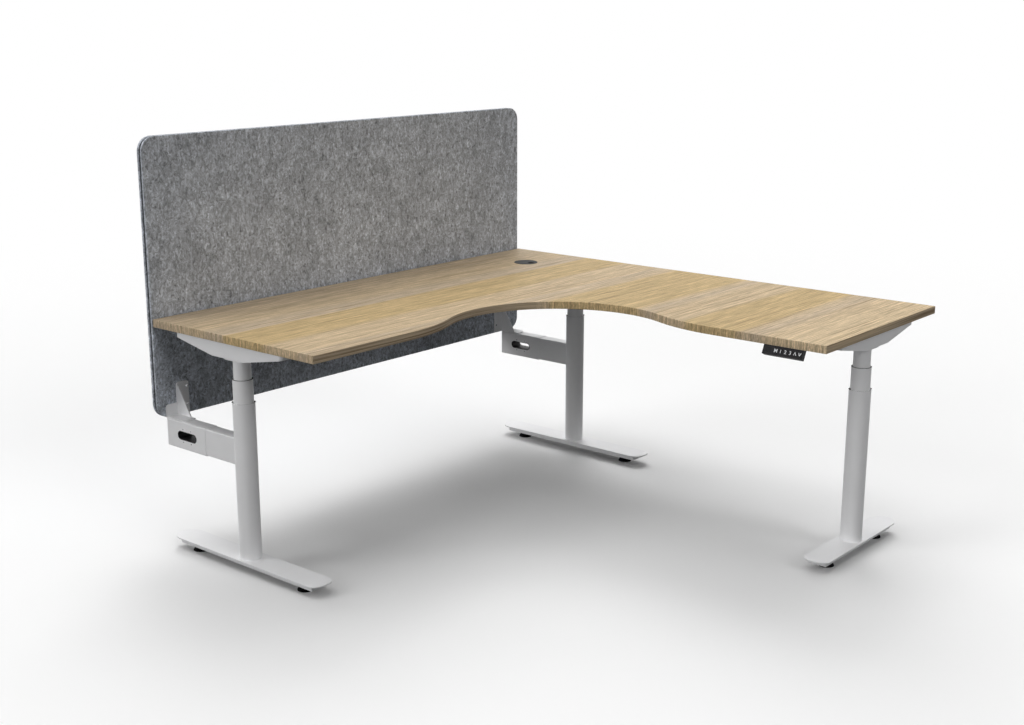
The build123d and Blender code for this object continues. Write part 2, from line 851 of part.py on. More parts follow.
def make_arm_beam(leg):
    """Inner box of an arm: saddled on the column, slotted at its free end to pass round the cable port."""
    length = back_y - beam_end_gap - leg.y - beam_start
    slot = back_y - beam_end_gap - port_y + port_length / 2 + notch_clearance
    inner_width = beam_width - 2 * beam_wall
    inner_height = beam_height - 2 * beam_wall
    section = Plane(origin=(arm_x(leg), leg.y + beam_start, beam_middle), x_dir=across, z_dir=(0, -1, 0))
    wall_plane = Plane(origin=(arm_x(leg), back_y - beam_end_gap, arm_height), x_dir=along, z_dir=across)
    with BuildPart() as beam:
        with BuildSketch(section):
            RectangleRounded(beam_width, beam_height, beam_corner)
            RectangleRounded(inner_width, inner_height, beam_corner - beam_wall, mode=Mode.SUBTRACT)
        extrude(amount=-length)
        disc(level(leg, 0), outer_diameter, top_height, Mode.SUBTRACT)
        with BuildSketch(wall_plane):
            Rectangle(2 * slot, liner_flange_height + 2 * notch_clearance)
        extrude(amount=beam_width, both=True, mode=Mode.SUBTRACT)
    save(beam.part, f"arm_beam_{leg.name}")


def port_plane(leg):
    """Upright plane across an arm at its cable port, X along the arm and Y upward."""
    return Plane(origin=(arm_x(leg), port_y, arm_height), x_dir=along, z_dir=across)


def port_screw_grid():
    return GridLocations(port_screw_spacing, port_screw_rise, 2, 2)


def make_arm_sleeve(leg):
    """Outer box of an arm, closed at the screen end, with a stadium cable port through both sides."""
    inner_width = beam_width + 2 * sleeve_clearance
    inner_height = beam_height + 2 * sleeve_clearance
    mouth_y = back_y - sleeve_length
    mouth = Plane(origin=(arm_x(leg), mouth_y, arm_height), x_dir=(-1, 0, 0), z_dir=along)
    hollow = Plane(origin=(arm_x(leg), mouth_y, beam_middle), x_dir=(-1, 0, 0), z_dir=along)
    with BuildPart() as sleeve:
        with BuildSketch(mouth):
            RectangleRounded(beam_outside, sleeve_height, sleeve_corner)
        extrude(amount=sleeve_length)
        with BuildSketch(hollow):
            RectangleRounded(inner_width, inner_height, beam_corner)
        extrude(amount=sleeve_length - sleeve_cap, mode=Mode.SUBTRACT)
        with BuildSketch(port_plane(leg)):
            SlotOverall(port_length, port_height)
            with port_screw_grid():
                Circle(port_screw_diameter / 2 + screw_slack)
        extrude(amount=beam_outside, both=True, mode=Mode.SUBTRACT)
    save(sleeve.part, f"arm_sleeve_{leg.name}")


def make_port_liner(leg):
    """Black liner through an arm's cable port, with a screwed flange behind each wall."""
    outside = beam_outside / 2 + port_lip
    flange_face = beam_width / 2 + sleeve_clearance
    with BuildPart() as liner:
        with BuildSketch(port_plane(leg)):
            SlotOverall(port_length - 2 * port_fit, port_height - 2 * port_fit)
        extrude(amount=outside, both=True)
        with BuildSketch(port_plane(leg)):
            RectangleRounded(port_length, liner_flange_height, liner_flange_corner)
        extrude(amount=flange_face, both=True)
        with BuildSketch(port_plane(leg)):
            RectangleRounded(port_length + cut, liner_flange_height + cut, liner_flange_corner)
            SlotOverall(port_length - 2 * port_fit, port_height - 2 * port_fit, mode=Mode.SUBTRACT)
        extrude(amount=flange_face - liner_flange_thickness, both=True, mode=Mode.SUBTRACT)
        with BuildSketch(port_plane(leg)):
            SlotOverall(port_length - 2 * (port_fit + port_wall), port_height - 2 * (port_fit + port_wall))
        extrude(amount=outside + cut, both=True, mode=Mode.SUBTRACT)
        with BuildSketch(port_plane(leg)):
            with port_screw_grid():
                Circle(port_screw_diameter / 2 + screw_slack)
        extrude(amount=outside + cut, both=True, mode=Mode.SUBTRACT)
    save(liner.part, f"port_liner_{leg.name}")


def make_screen_bracket(leg):
    """Folded bracket on an arm, with a foot, a flange against the screen and a raked web between them."""
    left = arm_x(leg) - beam_outside / 2
    width = screen_web_inset + screen_flange_reach
    back = Plane(origin=(left, screen_face_y, sleeve_top), x_dir=across, z_dir=(0, -1, 0))
    foot_plane = Plane(origin=(left, screen_face_y, sleeve_top), x_dir=across, z_dir=upward)
    web_plane = Plane(origin=(left + screen_web_inset, screen_face_y, sleeve_top), x_dir=along, z_dir=across)
    foot_width_x = screen_web_inset + screen_web_thickness
    foot_reach = screen_foot_length + screen_gap
    with BuildPart() as bracket:
        with BuildSketch(back) as flange:
            Polygon(
                (0, 0),
                (width, 0),
                (width, screen_bracket_height),
                (screen_web_inset, screen_bracket_height),
                (screen_web_inset, screen_block_height),
                (0, screen_block_height),
                align=None,
            )
            corners = flange.vertices()
            rounded = corners.group_by(Axis.Y)[-1] + corners.group_by(Axis.Y)[1].sort_by(Axis.X)[0:1]
            fillet(rounded, screen_bracket_corner)
            with Locations(*bracket_flange_holes(width)):
                Circle(screen_screw_diameter / 2 + screw_slack, mode=Mode.SUBTRACT)
        extrude(amount=screen_plate)
        with BuildSketch(foot_plane) as foot:
            Polygon((0, 0), (foot_width_x, 0), (foot_width_x, -foot_reach), (0, -foot_reach), align=None)
            fillet(foot.vertices().group_by(Axis.Y)[0].sort_by(Axis.X)[0], screen_foot_radius)
        extrude(amount=screen_plate)
        with BuildSketch(web_plane):
            Polygon(
                (0, 0),
                (0, screen_bracket_height - screen_bracket_corner),
                (-screen_web_top, screen_bracket_height - screen_bracket_corner),
                (screen_web_setback - foot_reach, screen_plate),
                (screen_web_setback - foot_reach, 0),
                align=None,
            )
        extrude(amount=screen_web_thickness)
    handed = bracket.part if leg.x < 0 else bracket.part.mirror(Plane.YZ.offset(arm_x(leg)))
    save(handed, f"screen_bracket_{leg.name}")


def bracket_flange_holes(width):
    """Screw holes in the flange, from its lower left corner."""
    x = width - screen_screw_inset
    top = screen_bracket_height - screen_screw_drop
    return ((x, top), (x, top - screen_screw_pitch))


def make_screen_screws():
    """Screws of the cable ports and of the screen itself."""
    wall_face = beam_outside / 2
    flange_back = beam_width / 2 + sleeve_clearance - liner_flange_thickness
    with BuildPart() as screws:
        for leg in arm_legs:
            for direction in (-1, 1):
                outward = Plane(
                    origin=(arm_x(leg) + direction * flange_back, port_y, arm_height),
                    x_dir=along,
                    z_dir=(direction, 0, 0),
                )
                with BuildSketch(outward):
                    with port_screw_grid():
                        Circle(port_screw_diameter / 2)
                extrude(amount=wall_face - flange_back)
                with BuildSketch(outward.offset(wall_face - flange_back)):
                    with port_screw_grid():
                        Circle(port_screw_head / 2)
                extrude(amount=port_screw_head_height)
        flange_front = Plane(origin=(0, screen_face_y - screen_plate, 0), x_dir=across, z_dir=(0, -1, 0))
        with BuildSketch(flange_front):
            with Locations(*screen_screw_places()):
                Circle(screen_screw_head / 2)
        extrude(amount=screen_screw_head_height)
        with BuildSketch(flange_front):
            with Locations(*screen_screw_places()):
                Circle(screen_screw_diameter / 2)
        extrude(amount=-screen_screw_length)
    save(screws.part, "screen_screws")


make_worktop()
make_grommet()
make_screen()
for leg in legs:
    make_foot(leg)
    make_levellers(leg)
    make_outer_tube(leg)
    make_middle_tube(leg)
    make_inner_tube(leg)
    make_hollow_screw(leg)
    make_drive_tube(leg)
    make_side_bracket(leg)
    make_drive_unit(leg)
make_foot_bolts()
make_rim_glides()
make_nut_glides()
make_stand_screws()
make_wood_screws()
make_rails()
make_control_box()
make_handset()
for leg in arm_legs:
    make_arm_beam(leg)
    make_arm_sleeve(leg)
    make_port_liner(leg)
    make_screen_bracket(leg)
make_screen_screws()
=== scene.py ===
import math

import bmesh
import bpy
from mathutils import Matrix, Vector


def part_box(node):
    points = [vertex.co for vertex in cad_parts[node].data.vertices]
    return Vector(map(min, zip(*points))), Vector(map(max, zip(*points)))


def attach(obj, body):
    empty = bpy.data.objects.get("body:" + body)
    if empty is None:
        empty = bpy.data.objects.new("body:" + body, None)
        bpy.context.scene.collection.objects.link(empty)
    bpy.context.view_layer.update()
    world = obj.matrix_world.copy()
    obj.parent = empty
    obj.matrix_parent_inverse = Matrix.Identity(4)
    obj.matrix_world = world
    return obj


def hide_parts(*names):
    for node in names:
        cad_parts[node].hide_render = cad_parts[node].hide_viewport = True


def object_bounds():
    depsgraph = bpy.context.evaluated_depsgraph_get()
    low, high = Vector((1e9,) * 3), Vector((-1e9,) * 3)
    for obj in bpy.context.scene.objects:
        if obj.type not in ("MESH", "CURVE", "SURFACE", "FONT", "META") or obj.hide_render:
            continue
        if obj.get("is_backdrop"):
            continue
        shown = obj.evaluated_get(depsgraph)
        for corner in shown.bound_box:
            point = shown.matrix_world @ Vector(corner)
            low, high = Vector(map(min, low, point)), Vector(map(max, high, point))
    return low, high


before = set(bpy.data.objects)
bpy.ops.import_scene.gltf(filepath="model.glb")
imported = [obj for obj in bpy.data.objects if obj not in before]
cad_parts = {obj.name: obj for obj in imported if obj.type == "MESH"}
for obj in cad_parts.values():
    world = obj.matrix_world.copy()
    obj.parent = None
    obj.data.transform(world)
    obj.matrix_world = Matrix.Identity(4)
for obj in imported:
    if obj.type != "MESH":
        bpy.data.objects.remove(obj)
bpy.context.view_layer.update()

# Looks of the corner workstation. Every length is in metres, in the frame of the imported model.

MM = 0.001
QUARTER_TURN = math.pi / 2
FULL_TURN = 2 * math.pi

LEG_NAMES = ("left", "corner", "right")
ARM_NAMES = ("left", "corner")
PAD_NAMES = ("left_rear", "left_front", "corner_rear", "corner_front", "right_inner", "right_outer")

# What is printed on each key: a letter, a number, or an arrow head that points up or down
KEY_SIGNS = {"memory": "M", "one": "1", "two": "2", "three": "3", "up": "up", "down": "down"}

board_low, board_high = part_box("worktop")


# Colours and node recipes


def display(red, green, blue):
    """Turn a colour written in 8-bit display values into linear light."""

    def channel(value):
        share = value / 255
        return share / 12.92 if share <= 0.04045 else ((share + 0.055) / 1.055) ** 2.4

    return (channel(red), channel(green), channel(blue), 1.0)


WHITE = display(255, 255, 255)


class Nodes:
    """Short ways to add, set and join the nodes of one tree."""

    def __init__(self, tree):
        self.tree = tree

    def add(self, kind, **settings):
        node = self.tree.nodes.new(kind)
        for key, value in settings.items():
            setattr(node, key, value)
        return node

    def put(self, socket, value):
        """Link an output to a socket, or write a plain value into it."""
        if isinstance(value, bpy.types.NodeSocket):
            self.tree.links.new(value, socket)
        else:
            socket.default_value = value

    def math(self, operation, first, second=0.0):
        node = self.add("ShaderNodeMath", operation=operation)
        self.put(node.inputs[0], first)
        self.put(node.inputs[1], second)
        return node.outputs[0]

    def blend(self, share, first, second):
        """Mix of two shaders."""
        node = self.add("ShaderNodeMixShader")
        self.put(node.inputs["Fac"], share)
        self.put(node.inputs[1], first)
        self.put(node.inputs[2], second)
        return node.outputs["Shader"]

    def seen(self):
        """One for rays that see a surface directly, through glass or in a reflection, and else zero."""
        rays = self.add("ShaderNodeLightPath").outputs
        direct = self.math("MAXIMUM", rays["Is Camera Ray"], rays["Is Transmission Ray"])
        return self.math("MAXIMUM", direct, rays["Is Glossy Ray"])


class Recipe(Nodes):
    """A node material that grows step by step around one shader."""

    def __init__(self, name):
        self.material = bpy.data.materials.new(name)
        self.material.use_nodes = True
        super().__init__(self.material.node_tree)
        self.shader = self.tree.nodes["Principled BSDF"]
        self.place = self.add("ShaderNodeTexCoord").outputs["Object"]

    def set(self, **inputs):
        """Set inputs of the main shader, with underscores for spaces."""
        for key, value in inputs.items():
            self.put(self.shader.inputs[key.replace("_", " ")], value)

    def noise(self, vector, scale, detail=2.0, rough=0.5, twist=0.0):
        node = self.add("ShaderNodeTexNoise")
        self.put(node.inputs["Vector"], vector)
        node.inputs["Scale"].default_value = scale
        node.inputs["Detail"].default_value = detail
        node.inputs["Roughness"].default_value = rough
        node.inputs["Distortion"].default_value = twist
        return node.outputs["Fac"]

    def grain(self, vector, scales, detail=2.0, rough=0.5, twist=0.0, lean=0.0):
        """Noise with its own scale along X, Y and Z, turned about Y by a lean in degrees."""
        node = self.add("ShaderNodeMapping")
        self.put(node.inputs["Vector"], vector)
        node.inputs["Scale"].default_value = scales
        node.inputs["Rotation"].default_value = (0, math.radians(lean), 0)
        return self.noise(node.outputs["Vector"], 1.0, detail, rough, twist)

    def range(self, value, from_low, from_high, to_low=0.0, to_high=1.0, smooth=False):
        node = self.add("ShaderNodeMapRange")
        node.interpolation_type = "SMOOTHSTEP" if smooth else "LINEAR"
        self.put(node.inputs["Value"], value)
        node.inputs["From Min"].default_value = from_low
        node.inputs["From Max"].default_value = from_high
        node.inputs["To Min"].default_value = to_low
        node.inputs["To Max"].default_value = to_high
        return node.outputs["Result"]

    def spread(self, noise, low, high, margin=0.3):
        """Spread a noise, whose values keep this margin from zero and one, between two limits."""
        return self.range(noise, margin, 1 - margin, low, high)

    def dip(self, noise, full, clear, depth):
        """One where a noise is above the clear value, falling to the depth at the full value."""
        return self.range(noise, full, clear, to_low=depth, smooth=True)

    def product(self, first, *others):
        """Product of several numbers."""
        for other in others:
            first = self.math("MULTIPLY", first, other)
        return first

    def ramp(self, value, stops):
        """Colour that runs through stops of a position and a colour each."""
        node = self.add("ShaderNodeValToRGB")
        elements = node.color_ramp.elements
        while len(elements) < len(stops):
            elements.new(1.0)
        for element, (position, colour) in zip(elements, stops):
            element.position = position
            element.color = colour
        self.put(node.inputs["Fac"], value)
        return node.outputs["Color"]

    def mix(self, factor, first, second, blend="MIX"):
        """Mix of two colours."""
        node = self.add("ShaderNodeMix", data_type="RGBA", blend_type=blend)
        self.put(node.inputs["Factor"], factor)
        self.put(node.inputs[6], first)
        self.put(node.inputs[7], second)
        return node.outputs[2]

    def shade(self, colour, value):
        """Multiply a colour by a plain number."""
        node = self.add("ShaderNodeCombineColor")
        for socket in ("Red", "Green", "Blue"):
            self.put(node.inputs[socket], value)
        return self.mix(1.0, colour, node.outputs["Color"], "MULTIPLY")

    def parts(self, vector):
        """X, Y and Z of a vector."""
        node = self.add("ShaderNodeSeparateXYZ")
        self.put(node.inputs["Vector"], vector)
        return node.outputs["X"], node.outputs["Y"], node.outputs["Z"]

    def join(self, x, y, z):
        """Vector of three numbers."""
        node = self.add("ShaderNodeCombineXYZ")
        for socket, value in zip(("X", "Y", "Z"), (x, y, z)):
            self.put(node.inputs[socket], value)
        return node.outputs["Vector"]

    def bump(self, height, distance, strength):
        node = self.add("ShaderNodeBump")
        node.inputs["Strength"].default_value = strength
        node.inputs["Distance"].default_value = distance
        self.put(node.inputs["Height"], height)
        return node.outputs["Normal"]


# Materials

PAINT_WHITE = display(249, 249, 250)
ZINC_DARK = display(150, 151, 153)
ZINC_LIGHT = display(196, 197, 199)
GLASS_DARK = display(14, 14, 16)
GLASS_LIGHT = display(20, 20, 23)
PAPER_DARK = display(150, 149, 147)
PAPER_LIGHT = display(166, 165, 163)
PRINT_WORN = display(214, 215, 218)
PRINT_FRESH = display(240, 241, 243)
FELT_GREY = display(192, 197, 205)


def powder_coat():
    """Light grey powder coat with a fine orange-peel skin."""
    coat = Recipe("powder_coat")
    peel = coat.noise(coat.place, scale=900.0)
    cloud = coat.noise(coat.place, scale=14.0, detail=3.0)
    coat.set(Base_Color=coat.shade(PAINT_WHITE, coat.spread(cloud, 0.985, 1.015)))
    coat.set(Roughness=coat.spread(peel, 0.4, 0.5), Specular_IOR_Level=0.22)
    coat.set(Normal=coat.bump(peel, distance=0.12 * MM, strength=0.35))
    return coat.material


def zinc():
    """Dull zinc plating of screws and drive parts."""
    metal = Recipe("zinc")
    cloud = metal.noise(metal.place, scale=220.0, detail=4.0)
    metal.set(Base_Color=metal.ramp(cloud, ((0.3, ZINC_DARK), (0.7, ZINC_LIGHT))))
    metal.set(Metallic=1.0, Roughness=metal.spread(cloud, 0.28, 0.45))
    return metal.material


PLASTIC_GLOSS = 0.14
ROUGHNESS_SWING = 0.06


def moulded(name, colour, roughness, gloss=PLASTIC_GLOSS):
    """Moulded plastic, foam or rubber with a fine grain."""
    plastic = Recipe(name)
    grain = plastic.noise(plastic.place, scale=1600.0, detail=3.0, rough=0.6)
    cloud = plastic.noise(plastic.place, scale=40.0)
    plastic.set(Base_Color=plastic.shade(colour, plastic.spread(cloud, 0.88, 1.12)))
    rough = plastic.spread(grain, roughness - ROUGHNESS_SWING, roughness + ROUGHNESS_SWING)
    plastic.set(Roughness=rough, Specular_IOR_Level=gloss)
    plastic.set(Normal=plastic.bump(grain, distance=0.1 * MM, strength=0.4))
    return plastic.material


def display_window():
    """Smooth dark window of the handset."""
    window = Recipe("display_window")
    haze = window.noise(window.place, scale=300.0)
    window.set(Base_Color=window.ramp(haze, ((0.3, GLASS_DARK), (0.7, GLASS_LIGHT))))
    window.set(Roughness=0.35, Specular_IOR_Level=0.12)
    return window.material


def backing_paper():
    """Plain grey paper on the underside of the board."""
    paper = Recipe("backing_paper")
    fleck = paper.noise(paper.place, scale=260.0, detail=3.0)
    paper.set(Base_Color=paper.ramp(fleck, ((0.3, PAPER_DARK), (0.7, PAPER_LIGHT))), Roughness=0.7)
    return paper.material


def printed_white():
    """Slightly worn white print."""
    ink = Recipe("printed_white")
    wear = ink.noise(ink.place, scale=1400.0, detail=4.0)
    ink.set(Base_Color=ink.ramp(wear, ((0.32, PRINT_WORN), (0.6, PRINT_FRESH))), Roughness=0.5)
    return ink.material


def felt():
    """Pressed grey felt: soft clouds, curly mottling, crossing fibres, hairs and dark flecks."""
    board = Recipe("felt")
    cloud = board.noise(board.place, scale=5.0, detail=3.0, rough=0.55)
    patch = board.grain(board.place, (26, 26, 17), detail=3.0, rough=0.6, twist=0.8)
    curls = board.grain(board.place, (62, 62, 52), detail=5.0, rough=0.76, twist=1.9)
    left = board.grain(board.place, (140, 140, 56), rough=0.6, lean=46)
    right = board.grain(board.place, (140, 140, 56), rough=0.6, lean=-52)
    hairs = board.grain(board.place, (1400, 1400, 300), lean=9)
    fleck = board.grain(board.place, (80, 80, 70), detail=1.5, rough=0.6, twist=0.4)
    rare = board.noise(board.place, scale=30.0, detail=0.0)
    tone = board.product(
        board.spread(cloud, 0.92, 1.08),
        board.spread(patch, 0.82, 1.18),
        board.spread(curls, 0.36, 1.64),
        board.spread(left, 0.8, 1.2, margin=0.25),
        board.spread(right, 0.8, 1.2, margin=0.25),
        board.spread(hairs, 0.92, 1.08),
        board.dip(fleck, full=0.27, clear=0.38, depth=0.62),
        board.dip(rare, full=0.13, clear=0.17, depth=0.55),
    )
    board.set(Base_Color=board.shade(FELT_GREY, tone))
    board.set(Roughness=0.95, Specular_IOR_Level=0.05)
    fuzz = board.math("ADD", board.math("MULTIPLY", hairs, 0.5), curls)
    board.set(Normal=board.bump(fuzz, distance=0.6 * MM, strength=0.5))
    return board.material


OAK_GOLD = display(205, 180, 136)
OAK_BEIGE = display(210, 188, 155)
OAK_GREY = display(202, 183, 157)
OAK_LIGHT = display(216, 194, 160)
OAK_DARK = display(150, 125, 93)
OAK_GLOSS = 0.01

# Bands of the oak pattern: distance from the back edge of the worktop and tone
OAK_BANDS = (
    (0.0, OAK_GREY),
    (0.235, OAK_BEIGE),
    (0.29, OAK_GREY),
    (0.345, OAK_GREY),
    (0.36, OAK_GOLD),
    (0.53, OAK_GOLD),
    (0.56, OAK_BEIGE),
    (0.68, OAK_BEIGE),
    (0.7, OAK_GREY),
    (0.77, OAK_BEIGE),
    (0.785, OAK_GOLD),
    (1.06, OAK_GOLD),
    (1.085, OAK_BEIGE),
    (1.12, OAK_GREY),
    (1.16, OAK_BEIGE),
    (1.29, OAK_BEIGE),
    (1.315, OAK_GOLD),
    (1.49, OAK_GOLD),
    (1.51, OAK_BEIGE),
    (1.56, OAK_GREY),
    (1.61, OAK_BEIGE),
    (1.68, OAK_LIGHT),
    (1.8, OAK_LIGHT),
)

# How far the figure swings across the grain: each streak, and the bands as a whole
STREAK_SWING = 3.0 * MM
BAND_SWING = 12.0 * MM


def oak_tone(recipe, along, across, depth):
    """Oak colour from the distance along the grain, across it and in depth, and the fine streaks in it."""
    wave = recipe.grain(recipe.join(along, across, depth), (6, 24, 24))
    streak_shift = recipe.spread(wave, -STREAK_SWING, STREAK_SWING, margin=0.25)
    where = recipe.join(along, recipe.math("ADD", across, streak_shift), depth)
    drift = recipe.grain(where, (0.9, 7, 7))
    band_shift = recipe.spread(drift, -BAND_SWING, BAND_SWING, margin=0.25)
    share = recipe.range(recipe.math("ADD", across, band_shift), board_high.y, board_low.y)
    width = board_high.y - board_low.y
    bands = recipe.ramp(share, [(distance / width, tone) for distance, tone in OAK_BANDS])
    dark = recipe.range(recipe.grain(where, (1.2, 120, 120)), 0.56, 0.7, to_high=0.5, smooth=True)
    colour = recipe.mix(dark, bands, OAK_DARK)
    broad = recipe.grain(where, (1.1, 46, 46), detail=3.0, rough=0.6)
    streak = recipe.grain(where, (5, 170, 170), detail=3.0, rough=0.6)
    fine = recipe.grain(where, (15, 380, 380), detail=3.0, rough=0.65)
    pore = recipe.grain(where, (70, 1900, 1900), detail=1.0)
    tone = recipe.product(
        recipe.spread(broad, 0.9, 1.1),
        recipe.spread(streak, 0.74, 1.22),
        recipe.spread(fine, 0.6, 1.32, margin=0.25),
        recipe.dip(pore, full=0.3, clear=0.4, depth=0.8),
    )
    return recipe.shade(colour, tone), fine


def oak_top():
    """Oak melamine with its grain along the long wing."""
    oak = Recipe("oak_top")
    colour, fine = oak_tone(oak, *oak.parts(oak.place))
    oak.set(Base_Color=colour, Roughness=oak.spread(fine, 0.42, 0.54), Specular_IOR_Level=OAK_GLOSS)
    oak.set(Normal=oak.bump(fine, distance=0.1 * MM, strength=0.4))
    return oak.material


# How many times shorter the figure is up the edge band than along the grain of the top
UPRIGHT_FIGURE = 6.0

# How far, as the Y part of its normal, a stretch of the edge faces the front or back to show long grain
LONG_GRAIN_FROM = 0.66
LONG_GRAIN_FULL = 0.82


def oak_edge():
    """Edge band: upright lines across the grain, long lines along it."""
    oak = Recipe("oak_edge")
    _, y, z = oak.parts(oak.place)
    cross, _ = oak_tone(oak, oak.math("MULTIPLY", z, UPRIGHT_FIGURE), y, 0.0)
    ribs = oak.grain(oak.place, (0, 150, 8), detail=3.0, rough=0.7)
    cross = oak.shade(cross, oak.spread(ribs, 0.7, 1.36, margin=0.32))
    lines = oak.grain(oak.place, (1.6, 0, 190), detail=3.0, rough=0.7)
    long_tone = oak.ramp(lines, ((0.3, OAK_DARK), (0.5, OAK_GREY), (0.68, OAK_BEIGE)))
    long_tone = oak.shade(long_tone, oak.spread(lines, 0.58, 1.14))
    _, facing, _ = oak.parts(oak.add("ShaderNodeNewGeometry").outputs["Normal"])
    facing = oak.math("ABSOLUTE", facing)
    turned = oak.range(facing, LONG_GRAIN_FROM, LONG_GRAIN_FULL, smooth=True)
    oak.set(Base_Color=oak.mix(turned, cross, long_tone))
    oak.set(Roughness=oak.spread(lines, 0.42, 0.54), Specular_IOR_Level=OAK_GLOSS)
    oak.set(Normal=oak.bump(ribs, distance=0.1 * MM, strength=0.3))
    return oak.material


POWDER = powder_coat()
ZINC = zinc()
BLACK = moulded("black_plastic", display(30, 30, 32), 0.5)
CASE = moulded("handset_plastic", display(33, 32, 34), 0.5)
KEY = moulded("key_plastic", display(31, 30, 32), 0.6)
HOUSING = moulded("drive_plastic", display(60, 60, 62), 0.55)
GROMMET = moulded("grommet_plastic", display(88, 89, 90), 0.7, gloss=0.02)
CORE = moulded("core_foam", display(48, 48, 50), 0.85)
RUBBER = moulded("pad_rubber", display(13, 13, 14), 0.8, gloss=0.04)
WINDOW = display_window()
INK = printed_white()
BACKING = backing_paper()
FELT = felt()
OAK_TOP = oak_top()
OAK_EDGE = oak_edge()


# Small building helpers


def link_object(name, mesh, *materials):
    piece = bpy.data.objects.new(name, mesh)
    bpy.context.collection.objects.link(piece)
    for material in materials:
        mesh.materials.append(material)
    return piece


def mesh_from(name, build, *materials):
    """Run a bmesh building function and return the piece."""
    mesh = bpy.data.meshes.new(name)
    grid = bmesh.new()
    build(grid)
    bmesh.ops.recalc_face_normals(grid, faces=grid.faces)
    grid.to_mesh(mesh)
    grid.free()
    return link_object(name, mesh, *materials)


def finish_piece(piece, body, slot, *nodes):
    """Let a piece ride on a body and hide the CAD nodes that it stands for. The slot is not used."""
    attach(piece, body)
    if nodes:
        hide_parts(*nodes)


def paint(material, *nodes):
    """Give CAD nodes a finished material."""
    for node in nodes:
        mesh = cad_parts[node].data
        mesh.materials.clear()
        mesh.materials.append(material)


# Softened edges: vertices closer than the weld are one, and corners flatter than the angle stay as they are
WELD_REACH = 0.02 * MM
SOFT_ANGLE = math.radians(35.0)
SOFT_STEPS = 2


def soften(node, width):
    """Round the sharp edges of a CAD node a little, so that they catch the light."""
    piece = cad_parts[node]
    weld = piece.modifiers.new("weld", "WELD")
    weld.merge_threshold = WELD_REACH
    bevel = piece.modifiers.new("bevel", "BEVEL")
    bevel.width = width
    bevel.segments = SOFT_STEPS
    bevel.limit_method = "ANGLE"
    bevel.angle_limit = SOFT_ANGLE
    bevel.harden_normals = True
    bevel.use_clamp_overlap = True


ARC_STEP = math.radians(2.5)


def arc_points(centre, radius, start, end):
    """Points of an arc from start to end angle, both ends included."""
    count = max(2, math.ceil(abs(end - start) / ARC_STEP))
    turns = [start + (end - start) * step / count for step in range(count + 1)]
    return [Vector((centre[0] + radius * math.cos(t), centre[1] + radius * math.sin(t))) for t in turns]


def circle_points(centre, radius):
    """Points of a full circle, each of them once."""
    return arc_points(centre, radius, 0.0, FULL_TURN)[:-1]


def ring(grid, outline, height):
    """Vertices of an outline at one height."""
    return [grid.verts.new((p.x, p.y, height)) for p in outline]


def bridge(grid, lower, upper):
    """Faces between two closed rings of as many points."""
    count = len(lower)
    for index in range(count):
        following = (index + 1) % count
        grid.faces.new((lower[index], lower[following], upper[following], upper[index]))


def wrap(grid, rings):
    """Closed skin through several rings, from the last one back to the first."""
    for lower, upper in zip(rings, rings[1:] + rings[:1]):
        bridge(grid, lower, upper)


# CAD nodes that stay as they are, with their finish

STEEL_EDGE = 0.8 * MM
SLEEVE_EDGE = 0.4 * MM
FOLD_EDGE = 0.5 * MM
BOX_EDGE = 0.8 * MM
CASE_EDGE = 0.5 * MM
KEY_EDGE = 0.3 * MM

for name in LEG_NAMES:
    paint(POWDER, f"foot_{name}", f"side_bracket_{name}")
    paint(POWDER, f"outer_tube_{name}", f"middle_tube_{name}", f"inner_tube_{name}")
    paint(ZINC, f"hollow_screw_{name}", f"drive_tube_{name}")
    paint(HOUSING, f"drive_unit_{name}")
    soften(f"foot_{name}", STEEL_EDGE)
    soften(f"side_bracket_{name}", STEEL_EDGE)
for name in ARM_NAMES:
    paint(POWDER, f"arm_beam_{name}", f"arm_sleeve_{name}", f"screen_bracket_{name}")
    paint(BLACK, f"port_liner_{name}")
    soften(f"arm_sleeve_{name}", SLEEVE_EDGE)
    soften(f"screen_bracket_{name}", FOLD_EDGE)
for name in PAD_NAMES:
    paint(RUBBER, f"leveller_{name}")
for key in KEY_SIGNS:
    paint(KEY, f"key_{key}")
    soften(f"key_{key}", KEY_EDGE)
paint(POWDER, "rail_back", "rail_return")
paint(BLACK, "outer_glides", "nut_glides", "control_box")
paint(ZINC, "stand_screws", "foot_bolts", "worktop_screws", "screen_screws")
paint(CORE, "screen_core")
paint(FELT, "screen_front_felt", "screen_rear_felt")
paint(GROMMET, "grommet_liner", "grommet_cap")
paint(CASE, "handset_case")
soften("handset_case", CASE_EDGE)
soften("control_box", BOX_EDGE)


# Worktop: board and edge band

WING_DEPTH = 0.75
WAIST_CUT = 0.08
BAY_RADIUS = 0.358
SHOULDER_RADIUS = 0.55
GROMMET_HOLE = 0.08
BAND = 1.0 * MM
BAND_STEPS = 4
BAND_CREASE = math.radians(40)


def worktop_outline(inset):
    """Worktop outline, measured from its back right corner toward the left end and the front."""
    length = board_high.x - board_low.x
    reach = board_high.y - board_low.y
    bay = WING_DEPTH - WAIST_CUT + BAY_RADIUS
    joined = BAY_RADIUS + SHOULDER_RADIUS
    drop = joined - WAIST_CUT
    offset = math.sqrt(joined**2 - drop**2)
    turn = math.atan2(offset, drop)
    start = bay + offset
    shoulder = WING_DEPTH - SHOULDER_RADIUS
    bulge = SHOULDER_RADIUS - inset
    hollow = BAY_RADIUS + inset
    depth = WING_DEPTH - inset
    points = [Vector((inset, inset)), Vector((length - inset, inset)), Vector((length - inset, depth))]
    points += arc_points((start, shoulder), bulge, QUARTER_TURN, QUARTER_TURN + turn)
    points += arc_points((bay, bay), hollow, turn - QUARTER_TURN, -math.pi - turn)[1:-1]
    points += arc_points((shoulder, start), bulge, -turn, 0.0)
    points += [Vector((depth, reach - inset)), Vector((inset, reach - inset))]
    return [Vector((board_high.x - p.x, board_high.y - p.y)) for p in points]


